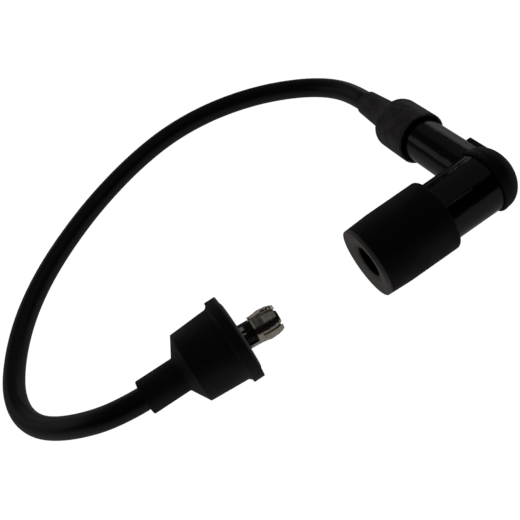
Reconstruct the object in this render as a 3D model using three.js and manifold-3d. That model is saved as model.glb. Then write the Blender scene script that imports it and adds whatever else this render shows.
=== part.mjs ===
// A spark plug cap with its ignition lead: a right-angled resistor cap, a 7 mm lead and a coil boot.
// Millimetres, +Z up. The cap lies as it comes to rest, with its plug leg along X, its mouth towards -X,
// and its wire leg towards +Y, dipped until the wire seal's barrel touches the surface at z = 0.
import * as THREE from "three";
import { mergeVertices } from "three/addons/utils/BufferGeometryUtils.js";
import Module from "manifold-3d";

const wasm = await Module();
wasm.setup();

// Clearances
const fit = 0.3;
const grip = 0.2;

// The lead
const leadRadius = 3.5;
const leadCoreRadius = 1.1;
const leadSides = 10;
const leadSteps = 66;
const straightOut = 3;
const straightIn = 2;

// Plug leg of the elbow, measured along X from the crossing of the two axes
const plugReach = 42.6;
const plugLegRadius = 9.3;
const spigotStep = 1.5;
const spigotRadius = plugLegRadius - spigotStep;
const spigotFront = -30;
const spigotShoulder = -18.5;
const beadHeight = 0.5;
const beadStation = -26;
const insulatorBoreRadius = 5.6;
const chamberRadius = 5.2;
const chamberStart = -5.5;
const chamberEnd = 4.2;
const accessRadius = 3.4;
const elbowBack = 7;
const edge = 0.6;
const smallEdge = 0.3;
const beadSlope = 0.5;
const beadHalfWidth = 0.5;

// Wire leg of the elbow, measured along Y from the crossing of the two axes
const wireLegRadius = 6.9;
const wireLegEnd = 39.5;
const leadSeat = 12.3;

// Plug boot
const bootWall = 1.7;
const bootDraft = 0.4;
const bootRadius = plugLegRadius + fit + bootWall;
const bootMouthRadius = bootRadius - bootDraft;
const bootLength = 25;
const bootTaper = 8;
const bootBoreRadius = 5.4;
const bootLipRadius = 4.8;
const bootLipDepth = 2;
const bootLipSlope = 0.4;
const bootRibStart = 5.2;
const bootRibWidth = 1.8;
const bootRearRounding = 1;

// Wire seal
const sealStart = 30.4;
const sealWall = 1.25;
const sealRimGap = 0.85;
const sealRadius = wireLegRadius + fit + sealWall;
const sealRimBore = wireLegRadius + sealRimGap;
const sealRimDepth = 3.4;
const sealBarrel = 12.4;
const sealShoulder = 3.8;
const sealLength = 31.2;
const sealNeckWall = 1.5;
const sealTipWall = 0.5;
const sealNeckRadius = leadRadius + grip + sealNeckWall;
const sealTipRadius = leadRadius + grip + sealTipWall;
const sealRimSlope = 0.6;
const sealCollar = 1;
const sealCollarDraft = 0.15;

// Elbow cover
const coverLip = 0.4;
const coverRadius = plugLegRadius + fit + coverLip;
const coverWall = 0.6;
const coverRim = -0.8;
const coverBeadHeight = 0.35;
const coverBeadWidth = 1;
const coverDomeStart = 0.4;
const domeSteps = 5;
const tabReach = 17.4;
const tabHalfWidth = 1.7;
const tabThickness = 0.9;
const tabCorner = 0.8;
const tabRoot = 1;

// The conducting stack in the plug leg, front to back
const socketFront = -24.6;
const socketLength = 8.8;
const socketBore = 3.3;
const socketWall = 1.1;
const socketRadius = socketBore + socketWall;
const stackBoreRadius = socketRadius + fit;
const socketFloor = 2;
const clipFromFront = 2.6;
const clipWire = 0.3;
const clipGap = THREE.MathUtils.degToRad(40);
const resistorRadius = 2.2;
const resistorLength = 9.4;
const capWall = 0.4;
const capGrip = 2.2;
const plateThickness = 0.6;
const plateFace = 3;
const plateDrop = 3.4;
const plateHalfWidth = 2.2;
const shelfTop = 4.4;
const shelfReach = 3;
const springWire = 0.35;
const springRadius = 2.3;
const springTurns = 4.5;

// Wire screw
const screwHeadRadius = 2;
const screwHeadThickness = 0.7;
const screwCoreRadius = 1;
const screwThreadRadius = 1.6;
const screwThreadPitch = 1.6;
const screwPassageRadius = screwThreadRadius + 2.5 * grip;
const screwLength = 18;
const screwPoint = 2;
const threadHalfWidth = 0.45;
const threadRoot = 0.3;
const threadBelowSeat = 4;
const threadRunout = 0.4;

// Coil boot, measured back along its own axis from its mouth
const coilMouth = [-66.4, -21.9];
const coilYaw = THREE.MathUtils.degToRad(-0.7);
const coilDip = THREE.MathUtils.degToRad(1.6);
const coilBoreRadius = 9;
const coilWall = 2.5;
const coilTaper = 0.8;
const flangeRim = 1.5;
const coilBodyRadius = coilBoreRadius + coilWall;
const coilBodyRearRadius = coilBodyRadius - coilTaper;
const flangeRadius = coilBodyRadius + flangeRim;
const flangeThickness = 3.4;
const coilBodyLength = 16;
const coilBoreDepth = 13.4;
const coilBoreChamfer = 0.4;
const coilFunnel = 2;
const coilRearEdge = 0.6;
const coilShoulder = 3.2;
const sleeveWall = 1.5;
const sleeveRadius = leadRadius + grip + sleeveWall;
const sleeveLength = 11.4;

// Coil terminal, measured from the crown's rear rim
const crownFromMouth = 4.2;
const crownLength = 7.4;
const crownSwell = 0.45;
const crownRadius = leadRadius + grip + crownSwell;
const crownCurl = 0.4;
const crownFlare = 0.3;
const crownRim = 0.5;
const crownTip = 0.8;
const crownCollar = 1.6;
const crownSlots = 5;
const slotWidth = 0.9;
const sheet = 0.4;
const crimpGap = 3.1;
const crimpLength = 5.2;
const stripLap = 0.6;
const baseAngle = THREE.MathUtils.degToRad(70);
const clawGap = THREE.MathUtils.degToRad(34);
const terminalSag = 0.9;
const coreLength = 2.4;

// Facets round a piece
const round = 40;
const medium = 32;
const small = 24;

const rubber = new THREE.MeshStandardMaterial({ color: "#191919", roughness: 0.75 });
const phenolic = new THREE.MeshStandardMaterial({ color: "#0f0e0e", roughness: 0.22 });
const jacket = new THREE.MeshStandardMaterial({ color: "#141414", roughness: 0.5 });
const tinned = new THREE.MeshStandardMaterial({ color: "#b9b4aa", roughness: 0.3, metalness: 1 });
const brass = new THREE.MeshStandardMaterial({ color: "#b08d4a", roughness: 0.35, metalness: 1 });
const steel = new THREE.MeshStandardMaterial({ color: "#8f9296", roughness: 0.3, metalness: 1 });
const ceramic = new THREE.MeshStandardMaterial({ color: "#d8d2c4", roughness: 0.5 });
const copper = new THREE.MeshStandardMaterial({ color: "#b5714a", roughness: 0.4, metalness: 1 });

// Gives a closed geometry merged vertices, with its faces pointing out
function closed(geometry) {
  const bare = new THREE.BufferGeometry();
  bare.setAttribute("position", geometry.getAttribute("position"));
  if (geometry.index) bare.setIndex(geometry.index);
  const merged = mergeVertices(bare, 1e-4);
  const place = merged.getAttribute("position");
  const corner = [new THREE.Vector3(), new THREE.Vector3(), new THREE.Vector3()];
  const faces = [];
  let volume = 0;
  for (let i = 0; i < merged.index.count; i += 3) {
    const face = [merged.index.getX(i), merged.index.getX(i + 1), merged.index.getX(i + 2)];
    if (face[0] === face[1] || face[1] === face[2] || face[2] === face[0]) continue;
    face.forEach((vertex, k) => corner[k].fromBufferAttribute(place, vertex));
    volume += corner[0].dot(corner[1].clone().cross(corner[2])) / 6;
    faces.push(face);
  }
  merged.setIndex(faces.flatMap((face) => (volume < 0 ? [face[0], face[2], face[1]] : face)));
  return merged;
}

function solid(geometry) {
  const merged = closed(geometry);
  return new wasm.Manifold(new wasm.Mesh({
    numProp: 3,
    vertProperties: new Float32Array(merged.getAttribute("position").array),
    triVerts: new Uint32Array(merged.index.array),
  }));
}

function geometryOf(manifold) {
  const mesh = manifold.getMesh();
  const geometry = new THREE.BufferGeometry();
  geometry.setAttribute("position", new THREE.BufferAttribute(new Float32Array(mesh.vertProperties), 3));
  geometry.setIndex([...mesh.triVerts]);
  return geometry;
}

function piece(name, geometry, material) {
  const ready = closed(geometry);
  ready.computeVertexNormals();
  const mesh = new THREE.Mesh(ready, material);
  mesh.name = name;
  return mesh;
}

// Revolves an outline of [station, radius] points. A tube's outline closes on itself, and a rod's ends on the
// axis. The axis is +Y, with a facet corner towards -Z.
function turned(outline, segments, tube = false) {
  const points = outline.map(([station, radius]) => new THREE.Vector2(radius, station));
  if (tube) points.push(points[0].clone());
  return new THREE.LatheGeometry(points, segments);
}

// The same, with the axis along +X
function turnedX(outline, segments, tube = false) {
  return turned(outline, segments, tube).rotateZ(-Math.PI / 2);
}

function rod(from, to, radius) {
  return [[from, 0], [from, radius], [to, radius], [to, 0]];
}

// A ring of wire or a coil of it: a round section swept along a curve
function swept(curve, radius, steps, sides) {
  const section = new THREE.Shape();
  for (let i = 0; i < sides; i += 1) {
    const angle = (2 * Math.PI * i) / sides;
    const point = [radius * Math.cos(angle), radius * Math.sin(angle)];
    if (i === 0) section.moveTo(...point);
    else section.lineTo(...point);
  }
  section.closePath();
  return new THREE.ExtrudeGeometry(section, { steps, extrudePath: curve, bevelEnabled: false });
}

class Helix extends THREE.Curve {
  constructor(radius, length, turns, start = 0) {
    super();
    Object.assign(this, { radius, length, turns, start });
  }

  getPoint(t) {
    const angle = 2 * Math.PI * this.turns * t;
    return new THREE.Vector3(
      this.start + this.length * t,
      this.radius * Math.cos(angle),
      this.radius * Math.sin(angle),
    );
  }
}

// Quarter round from one point of an outline to another, bulging away from the axis
function arc(from, to, count) {
  const points = [];
  for (let i = 1; i < count; i += 1) {
    const angle = (Math.PI / 2) * (i / count);
    points.push([
      from[0] + (to[0] - from[0]) * Math.sin(angle),
      to[1] + (from[1] - to[1]) * Math.cos(angle),
    ]);
  }
  return points;
}

// How far the wire leg dips: the plug boot lies on the surface, and the seal's barrel comes down to it
const barrelEnd = sealStart + sealBarrel;
const dip = Math.asin(bootRadius / Math.hypot(barrelEnd, sealRadius)) - Math.atan2(sealRadius, barrelEnd);
const sealEnd = sealStart + sealLength;
const cavityBack = elbowBack + fit;
const coverBack = cavityBack + coverWall;
const capBack = Math.max(coverBack, cavityBack + tabThickness, sealRadius);

function makeElbowBody() {
  const bead = spigotRadius + beadHeight;
  const plugLeg = solid(turnedX([
    [spigotFront, 0],
    [spigotFront, spigotRadius - edge],
    [spigotFront + edge, spigotRadius],
    [beadStation - beadHalfWidth - beadSlope, spigotRadius],
    [beadStation - beadHalfWidth, bead],
    [beadStation + beadHalfWidth, bead],
    [beadStation + beadHalfWidth + beadSlope, spigotRadius],
    [spigotShoulder, spigotRadius],
    [spigotShoulder, plugLegRadius - smallEdge],
    [spigotShoulder + smallEdge, plugLegRadius],
    [0, plugLegRadius],
    ...arc([0, plugLegRadius], [elbowBack, 0], domeSteps),
    [elbowBack, 0],
  ], round));
  const wireLeg = solid(turned([
    [0, 0],
    [0, wireLegRadius],
    [wireLegEnd - edge, wireLegRadius],
    [wireLegEnd, wireLegRadius - edge],
    [wireLegEnd, 0],
  ], round));
  const bores = [
    turnedX(rod(spigotFront - 1, socketFront, insulatorBoreRadius), medium),
    turnedX(rod(socketFront - 1, chamberStart + 1, stackBoreRadius), medium),
    turnedX(rod(chamberStart, chamberEnd, chamberRadius), medium),
    turnedX(rod(chamberEnd - 1, elbowBack + 1, accessRadius), medium),
    turned(rod(leadSeat, wireLegEnd + 1, leadRadius + grip), medium),
    turned(rod(0, leadSeat + 1, screwPassageRadius), small),
  ];
  let body = plugLeg.add(wireLeg);
  for (const bore of bores) body = body.subtract(solid(bore));
  return piece("elbow_body", geometryOf(body), phenolic);
}

// The cover is a thin dome over the elbow's domed back, cut open where the wire leg comes out. Its tongue lies
// along the top of the wire leg.
function makeElbowCover() {
  const inner = plugLegRadius + fit;
  const shell = solid(turnedX([
    [coverRim, inner],
    [coverRim, coverRadius + coverBeadHeight],
    [coverRim + coverBeadWidth, coverRadius + coverBeadHeight],
    [coverDomeStart, coverRadius],
    ...arc([coverDomeStart, coverRadius], [coverBack, 0], domeSteps),
    [coverBack, 0],
    [cavityBack, 0],
    ...arc([0, inner], [cavityBack, 0], domeSteps).reverse(),
    [0, inner],
    [coverRim, inner],
  ], round));
  const notch = solid(turned(rod(0, coverRadius + 1, wireLegRadius + fit), round));
  const tongue = new THREE.Shape();
  tongue.moveTo(-tabHalfWidth, tabRoot);
  tongue.lineTo(tabHalfWidth, tabRoot);
  tongue.lineTo(tabHalfWidth, tabReach - tabCorner);
  tongue.quadraticCurveTo(tabHalfWidth, tabReach, tabHalfWidth - tabCorner, tabReach);
  tongue.lineTo(tabCorner - tabHalfWidth, tabReach);
  tongue.quadraticCurveTo(-tabHalfWidth, tabReach, -tabHalfWidth, tabReach - tabCorner);
  tongue.closePath();
  const tab = new THREE.ExtrudeGeometry(tongue, { depth: tabThickness, bevelEnabled: false, curveSegments: 3 });
  tab.rotateY(Math.PI / 2).translate(cavityBack, 0, 0);
  return piece("elbow_cover", geometryOf(shell.subtract(notch).add(solid(tab))), rubber);
}

function makePlugBoot() {
  const mouth = -plugReach;
  const rear = mouth + bootLength;
  const seat = spigotRadius + fit;
  const groove = seat + beadHeight;
  const beadSide = beadHalfWidth + fit;
  const ribEnd = mouth + bootRibStart + bootRibWidth;
  return piece("plug_boot", turnedX([
    [mouth, bootMouthRadius - smallEdge],
    [mouth + smallEdge, bootMouthRadius],
    [mouth + bootTaper, bootRadius],
    [rear - bootRearRounding, bootRadius],
    ...arc([rear - bootRearRounding, bootRadius], [rear, bootRadius - bootRearRounding], 3),
    [rear, bootRadius - bootRearRounding],
    [rear, plugLegRadius + fit],
    [spigotShoulder - fit, plugLegRadius + fit],
    [spigotShoulder - fit, seat],
    [beadStation + beadSide + beadSlope, seat],
    [beadStation + beadSide, groove],
    [beadStation - beadSide, groove],
    [beadStation - beadSide - beadSlope, seat],
    [spigotFront - fit, seat],
    [spigotFront - fit, bootBoreRadius],
    [ribEnd, bootBoreRadius],
    [ribEnd - bootLipSlope, bootLipRadius],
    [mouth + bootRibStart + bootLipSlope, bootLipRadius],
    [mouth + bootRibStart, bootBoreRadius],
    [mouth + bootLipDepth + bootLipSlope, bootBoreRadius],
    [mouth + bootLipDepth, bootLipRadius],
    [mouth + bootLipSlope, bootLipRadius],
    [mouth, bootLipRadius + bootLipSlope],
  ], round, true), rubber);
}

function makeWireSeal() {
  const neck = barrelEnd + sealShoulder;
  const bore = leadRadius + grip;
  return piece("wire_seal", turned([
    [sealStart, sealRadius - smallEdge],
    [sealStart + smallEdge, sealRadius],
    [barrelEnd, sealRadius],
    ...arc([barrelEnd, sealRadius], [neck, sealNeckRadius], 4),
    [neck, sealNeckRadius],
    [neck + sealCollar, sealNeckRadius - sealCollarDraft],
    [sealEnd, sealTipRadius],
    [sealEnd, bore],
    [wireLegEnd + fit, bore],
    [wireLegEnd + fit, wireLegRadius + fit],
    [sealStart + sealRimDepth, wireLegRadius + fit],
    [sealStart + sealRimDepth - sealRimSlope, sealRimBore],
    [sealStart, sealRimBore],
  ], round, true), rubber);
}

function makePlugSocket() {
  const front = socketFront + fit;
  const back = socketFront + socketLength;
  const clipSeat = socketFront + clipFromFront;
  const grooveDepth = clipWire + grip;
  return piece("plug_socket", turnedX([
    [front, socketRadius - smallEdge],
    [front + smallEdge, socketRadius],
    [back - smallEdge, socketRadius],
    [back, socketRadius - smallEdge],
    [back, 0],
    [back - socketFloor, 0],
    [back - socketFloor, socketBore],
    [clipSeat + grooveDepth, socketBore],
    [clipSeat + grooveDepth, socketBore + grooveDepth],
    [clipSeat - grooveDepth, socketBore + grooveDepth],
    [clipSeat - grooveDepth, socketBore],
    [front + smallEdge, socketBore],
    [front, socketBore + smallEdge],
    [front, socketRadius - smallEdge],
  ], medium), brass);
}

// The spring clip snaps round the plug's terminal. Its two ends leave a gap, so it is an open ring.
function makeSocketClip() {
  const station = socketFront + clipFromFront;
  const radius = socketBore + (grip - clipWire) / 2;
  const ring = new THREE.EllipseCurve(0, 0, radius, radius, clipGap / 2, 2 * Math.PI - clipGap / 2);
  const path = new THREE.CatmullRomCurve3(
    ring.getPoints(20).map((p) => new THREE.Vector3(station, p.x, p.y)),
  );
  return piece("socket_clip", swept(path, clipWire, 20, 6), steel);
}

const resistorFront = socketFront + socketLength + fit + capWall + grip;
const resistorBack = resistorFront + resistorLength;

function makeResistor() {
  return piece("resistor", turnedX(rod(resistorFront, resistorBack, resistorRadius), small), ceramic);
}

// A pressed cup over one end of the resistor. facing is -1 for the front cup and +1 for the rear one.
function makeResistorCap(name, end, facing) {
  const bore = resistorRadius + grip;
  const out = end + facing * (grip + capWall);
  const floor = end + facing * grip;
  const mouth = end - facing * capGrip;
  return piece(name, turnedX([
    [out, 0],
    [out, bore + capWall],
    [mouth, bore + capWall],
    [mouth, bore],
    [floor, bore],
    [floor, 0],
  ], small), tinned);
}

function makeContactSpring() {
  const start = resistorBack + grip + capWall + fit + springWire;
  const end = plateFace - fit - springWire;
  const path = new Helix(springRadius, end - start, springTurns, start);
  return piece("contact_spring", swept(path, springWire, 52, 6), steel);
}

// The spring bears on one leaf of the angle, and the wire screw stands in a hole in the other
function makeContactPlate() {
  const outline = new THREE.Shape();
  outline.moveTo(plateFace, -plateDrop);
  outline.lineTo(plateFace + plateThickness, -plateDrop);
  outline.lineTo(plateFace + plateThickness, shelfTop);
  outline.lineTo(-shelfReach, shelfTop);
  outline.lineTo(-shelfReach, shelfTop - plateThickness);
  outline.lineTo(plateFace, shelfTop - plateThickness);
  outline.closePath();
  const angle = new THREE.ExtrudeGeometry(outline, { depth: 2 * plateHalfWidth, bevelEnabled: false });
  angle.translate(0, 0, -plateHalfWidth);
  const hole = turned(
    rod(shelfTop - 2 * plateThickness, shelfTop + plateThickness, screwCoreRadius + grip),
    small,
  );
  return piece("contact_plate", geometryOf(solid(angle).subtract(solid(hole))), brass);
}

// The underside of the screw's head bears on the shelf, and its shank stands up into the lead
const headSeat = shelfTop - plateThickness - fit;
const screwTip = headSeat + screwLength;

function makeWireScrew() {
  const threadStart = leadSeat - threadBelowSeat;
  const shank = solid(turned([
    [headSeat - screwHeadThickness, 0],
    [headSeat - screwHeadThickness, screwHeadRadius],
    [headSeat, screwHeadRadius],
    [headSeat, screwCoreRadius],
    [screwTip - screwPoint, screwCoreRadius],
    [screwTip, 0],
  ], small));
  const ridge = new THREE.Shape();
  const height = screwThreadRadius - screwCoreRadius;
  ridge.moveTo(-threadHalfWidth, -threadRoot);
  ridge.lineTo(threadHalfWidth, -threadRoot);
  ridge.lineTo(0, height);
  ridge.closePath();
  const length = screwTip - screwPoint - threadRunout - threadStart;
  const turns = length / screwThreadPitch;
  const steps = Math.round(turns * 10);
  const thread = threadAlongY(ridge, screwCoreRadius, threadStart, length, turns, steps);
  return piece("wire_screw", geometryOf(shank.add(solid(thread))), steel);
}

// A ridge wound round the Y axis. Each step lays the ridge's outline in the plane through the axis.
function threadAlongY(ridge, radius, start, length, turns, steps) {
  const outline = ridge.getPoints();
  if (outline[0].equals(outline[outline.length - 1])) outline.pop();
  const position = [];
  const index = [];
  const n = outline.length;
  for (let i = 0; i <= steps; i += 1) {
    const t = i / steps;
    const angle = 2 * Math.PI * turns * t;
    for (const p of outline) {
      const r = radius + p.y;
      position.push(r * Math.cos(angle), start + length * t + p.x, r * Math.sin(angle));
    }
  }
  for (let i = 0; i < steps; i += 1) {
    for (let k = 0; k < n; k += 1) {
      const a = i * n + k;
      const b = i * n + ((k + 1) % n);
      index.push(a, b, a + n, b, b + n, a + n);
    }
  }
  for (let k = 1; k < n - 1; k += 1) {
    index.push(0, k + 1, k);
    index.push(steps * n, steps * n + k, steps * n + k + 1);
  }
  const geometry = new THREE.BufferGeometry();
  geometry.setAttribute("position", new THREE.Float32BufferAttribute(position, 3));
  geometry.setIndex(index);
  return geometry;
}

// A plug in the hole behind the contact plate, flush with the lowest of the hole's rim
function makeChamberSeal() {
  const front = plateFace + plateThickness + fit;
  const back = elbowBack * Math.sqrt(1 - (accessRadius / plugLegRadius) ** 2);
  return piece("chamber_seal", turnedX(rod(front, back, accessRadius - fit), medium), rubber);
}

// The straight end of the lead that the cap holds, with the hole that the wire screw cuts in its core
function makeLeadCapEnd() {
  const start = leadSeat + fit;
  const hole = screwThreadRadius + grip;
  const holeEnd = screwTip + fit;
  return piece("lead_cap_end", turned([
    [start, hole],
    [start, leadRadius],
    [sealEnd - fit / 2, leadRadius],
    [sealEnd - fit / 2, 0],
    [holeEnd, 0],
    [holeEnd, hole],
    [start, hole],
  ], small), jacket);
}

// The cap lies on its boot, tipped about the plug leg's axis, so that its box is centred on the origin
function makeCap() {
  const cap = new THREE.Group();
  cap.add(
    makeElbowBody(),
    makeElbowCover(),
    makePlugBoot(),
    makeWireSeal(),
    makePlugSocket(),
    makeSocketClip(),
    makeResistor(),
    makeResistorCap("resistor_cap_front", resistorFront, -1),
    makeResistorCap("resistor_cap_rear", resistorBack, 1),
    makeContactSpring(),
    makeContactPlate(),
    makeWireScrew(),
    makeChamberSeal(),
    makeLeadCapEnd(),
  );
  cap.rotation.x = -dip;
  const sealTop = sealEnd * Math.cos(dip) + sealTipRadius * Math.sin(dip);
  cap.position.set((plugReach - capBack) / 2, (bootRadius - sealTop) / 2, bootRadius);
  return cap;
}

// Where the lead leaves the wire seal, and the way it points there
const cap = makeCap();
const wireWay = new THREE.Vector3(0, Math.cos(dip), -Math.sin(dip));
const exit = cap.position.clone().addScaledVector(wireWay, sealEnd + fit / 2);

// The coil boot's axis, and where the lead goes into its sleeve
const coilWay = new THREE.Vector3(1, 0, 0)
  .applyAxisAngle(new THREE.Vector3(0, 1, 0), coilDip)
  .applyAxisAngle(new THREE.Vector3(0, 0, 1), coilYaw);
const coilPlace = new THREE.Vector3(...coilMouth, flangeRadius * Math.cos(coilDip));
const sleeveEnd = coilBodyLength + coilShoulder + sleeveLength;
const entry = coilPlace.clone().addScaledVector(coilWay, -(sleeveEnd + fit / 2));

// The free lead on the surface, from the wire seal round to the coil boot
const route = [
  [16.9, 50.3, 5.0],
  [14.5, 59.1, 3.9],
  [9.5, 67.0, 3.5],
  [2.6, 73.8, 3.5],
  [-5.5, 79.9, 3.5],
  [-14.4, 84.7, 3.5],
  [-23.9, 88.2, 3.5],
  [-33.7, 90.1, 3.5],
  [-43.6, 90.4, 3.5],
  [-53.5, 89.0, 3.5],
  [-63.3, 86.4, 3.5],
  [-72.9, 82.8, 3.5],
  [-82.2, 78.5, 3.5],
  [-91.1, 73.4, 3.5],
  [-99.5, 67.8, 3.5],
  [-107.4, 61.6, 3.5],
  [-114.6, 54.7, 3.5],
  [-121.0, 47.0, 3.5],
  [-126.4, 38.6, 3.5],
  [-130.8, 29.4, 3.5],
  [-133.8, 19.7, 3.5],
  [-133.8, 9.7, 3.8],
  [-130.1, 0.2, 5.5],
  [-123.9, -7.8, 8.4],
  [-116.7, -14.5, 11.5],
  [-108.4, -19.6, 13.6],
];

function makeLead() {
  const line = new THREE.CatmullRomCurve3([
    exit,
    exit.clone().addScaledVector(wireWay, straightOut),
    ...route.map((p) => new THREE.Vector3(...p)),
    entry.clone().addScaledVector(coilWay, -straightIn),
    entry,
  ], false, "centripetal");
  return piece("ht_lead", swept(line, leadRadius, leadSteps, leadSides), jacket);
}

function makeCoilBoot() {
  const bodyFront = -flangeThickness;
  const bodyRear = -coilBodyLength;
  const neck = bodyRear - coilShoulder;
  const bore = leadRadius + grip;
  return piece("coil_boot", turnedX([
    [-smallEdge, flangeRadius],
    [0, flangeRadius - smallEdge],
    [0, coilBoreRadius + coilBoreChamfer],
    [-coilBoreChamfer, coilBoreRadius],
    [-coilBoreDepth, coilBoreRadius],
    [-coilBoreDepth - coilFunnel, bore],
    [-sleeveEnd, bore],
    [-sleeveEnd, sleeveRadius],
    [neck, sleeveRadius],
    [bodyRear - coilRearEdge, coilBodyRearRadius - coilRearEdge],
    [bodyRear, coilBodyRearRadius],
    [bodyFront, coilBodyRadius],
    [bodyFront, flangeRadius],
  ], round, true), rubber);
}

// The lead's end lies straight in the sleeve and sags a little in the wide bore, towards the camera's side
const sagWay = new THREE.Vector3(0, -0.76, -0.65);
const tipStation = crownFromMouth - fit;
const leadEndLine = new THREE.CatmullRomCurve3([
  new THREE.Vector3(-sleeveEnd + fit / 2, 0, 0),
  new THREE.Vector3(-sleeveEnd + 6, 0, 0),
  new THREE.Vector3(-coilBodyLength - 1, 0, 0),
  new THREE.Vector3(-coilBodyLength / 2, 0, 0).addScaledVector(sagWay, 0.2 * terminalSag),
  new THREE.Vector3(-2, 0, 0).addScaledVector(sagWay, 0.62 * terminalSag),
  new THREE.Vector3(tipStation, 0, 0).addScaledVector(sagWay, terminalSag),
]);

function makeLeadCoilEnd() {
  return piece("lead_coil_end", swept(leadEndLine, leadRadius, 12, 16), jacket);
}

// Part of a ring of sheet metal round the X axis, from one angle to another
function sheetArc(inner, outer, from, to, start, length, segments) {
  const shape = new THREE.Shape();
  shape.absarc(0, 0, outer, from, to, false);
  shape.absarc(0, 0, inner, to, from, true);
  shape.closePath();
  const arcGeometry = new THREE.ExtrudeGeometry(shape, {
    depth: length,
    bevelEnabled: false,
    curveSegments: segments,
  });
  return arcGeometry.rotateY(Math.PI / 2).translate(start, 0, 0);
}

// Rolled and crimped from one strip: a crown of sprung prongs, a base strip and two claws round the lead
function makeCoilTerminal() {
  const inner = leadRadius + grip;
  const middle = 0.45 * crownLength;
  const crown = solid(turnedX([
    [0, inner + sheet + crownFlare],
    [crownRim, inner + sheet],
    [middle, crownRadius + sheet],
    [crownLength - crownTip, inner + sheet],
    [crownLength, inner + sheet - crownCurl],
    [crownLength, inner - crownCurl],
    [crownLength - crownTip, inner],
    [middle, crownRadius],
    [crownRim, inner],
    [0, inner + crownFlare],
  ], round, true));
  let terminal = crown;
  for (let i = 0; i < crownSlots; i += 1) {
    const slot = new THREE.BoxGeometry(crownLength, 2 * crownRadius, slotWidth);
    slot.translate(crownCollar + crownLength / 2, crownRadius, 0);
    slot.rotateX((2 * Math.PI * i) / crownSlots);
    terminal = terminal.subtract(solid(slot));
  }
  const outer = inner + sheet;
  const strip = sheetArc(
    inner,
    outer,
    -baseAngle / 2,
    baseAngle / 2,
    -crimpGap - stripLap,
    crimpGap + 2 * stripLap,
    8,
  );
  const claws = sheetArc(
    inner,
    outer,
    -Math.PI + clawGap / 2,
    Math.PI - clawGap / 2,
    -crimpGap - crimpLength,
    crimpLength,
    20,
  );
  terminal = terminal.add(solid(strip)).add(solid(claws));
  return piece("coil_terminal", geometryOf(terminal), tinned);
}

// The bared strands are folded back out of the lead's end and end in the crown
function makeLeadCore() {
  return piece("lead_core", turnedX(rod(0, coreLength, leadCoreRadius), small), copper);
}

function makeCoilEnd() {
  const coilEnd = new THREE.Group();
  const tip = leadEndLine.getPoint(1);
  const way = leadEndLine.getTangent(1);
  const onTip = new THREE.Group();
  onTip.position.copy(tip).addScaledVector(way, fit);
  onTip.quaternion.setFromUnitVectors(new THREE.Vector3(1, 0, 0), way);
  const core = makeLeadCore();
  const terminal = makeCoilTerminal();
  terminal.rotation.x = Math.atan2(sagWay.y, -sagWay.z);
  onTip.add(core, terminal);
  coilEnd.add(makeCoilBoot(), makeLeadCoilEnd(), onTip);
  coilEnd.position.copy(coilPlace);
  coilEnd.quaternion.setFromUnitVectors(new THREE.Vector3(1, 0, 0), coilWay);
  return coilEnd;
}

const part = new THREE.Group();
part.add(cap, makeLead(), makeCoilEnd());

export default part;
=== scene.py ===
# %% [markdown]
# # A spark plug cap with its ignition lead
#
# The object is a right-angled resistor cap of glossy black phenolic, dressed with matte rubber mouldings: a
# boot on the plug leg, a domed cover on the corner and a seal where the 7 mm lead goes in. The lead lies in
# a loose loop on a pale table and ends in a flanged coil boot, and a sprung crown terminal stands out of
# its mouth. Nearly everything is black, so the picture is made by the edges, the difference between matte
# and gloss, and the few bright square millimetres of tinned sheet.

import math

import bmesh
import bpy
from mathutils import Matrix, Vector


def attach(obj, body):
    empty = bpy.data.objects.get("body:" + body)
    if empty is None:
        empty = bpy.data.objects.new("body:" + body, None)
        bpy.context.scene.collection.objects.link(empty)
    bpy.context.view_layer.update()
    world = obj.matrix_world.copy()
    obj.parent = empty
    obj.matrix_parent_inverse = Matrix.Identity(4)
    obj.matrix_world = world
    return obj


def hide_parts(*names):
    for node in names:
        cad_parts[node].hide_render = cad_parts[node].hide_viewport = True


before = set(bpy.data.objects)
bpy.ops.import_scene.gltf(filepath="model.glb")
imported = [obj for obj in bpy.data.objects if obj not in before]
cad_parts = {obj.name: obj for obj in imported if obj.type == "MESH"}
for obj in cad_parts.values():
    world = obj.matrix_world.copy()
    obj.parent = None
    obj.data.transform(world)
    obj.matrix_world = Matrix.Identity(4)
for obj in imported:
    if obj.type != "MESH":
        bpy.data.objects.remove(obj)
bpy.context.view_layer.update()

# %% [markdown]
# ## Camera
#
# The photograph looks down on the table from 46 degrees, with the camera rolled. A camera can be built
# straight from three unit vectors: its right, its up and its back. They become the columns of its matrix.
# This was chosen over a track-to constraint, because a constraint can't roll.

# %% Camera
MM = 0.001
CAMERA_PLACE = (-72.766, -162.574, 179.781)
CAMERA_RIGHT = (0.82034, -0.46791, -0.32880)
CAMERA_UP = (0.56200, 0.55316, 0.61496)
FOCAL_LENGTH = 53.97
SENSOR_WIDTH = 36


def point(x, y, z):
    """A point given in millimetres."""
    return Vector((x, y, z)) * MM


def make_camera():
    right = Vector(CAMERA_RIGHT).normalized()
    up = Vector(CAMERA_UP).normalized()
    back = right.cross(up)
    data = bpy.data.cameras.new("camera")
    data.sensor_width = SENSOR_WIDTH
    data.lens = FOCAL_LENGTH
    data.clip_start = 0.01
    # Far enough for the whole of the table
    data.clip_end = 200
    camera = bpy.data.objects.new("camera", data)
    turn = Matrix((right, up, back)).transposed().to_4x4()
    camera.matrix_world = Matrix.Translation(point(*CAMERA_PLACE)) @ turn
    bpy.context.scene.collection.objects.link(camera)
    bpy.context.scene.camera = camera
    print("camera looks down", round(math.degrees(math.asin(back.z)), 1), "degrees")


make_camera()

# %% [markdown]
# ## Places
#
# Two groups of pieces don't lie square to the table. The cap rests on its boot and dips until the wire seal
# touches the table, and the coil boot lies on the edge of its flange. Each group gets a matrix once, and
# every piece is made round the X axis and then moved by that matrix, so that the object itself stays at the
# origin. Places along the two legs are counted from where their axes cross, and along the coil boot from
# its flange.

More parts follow.
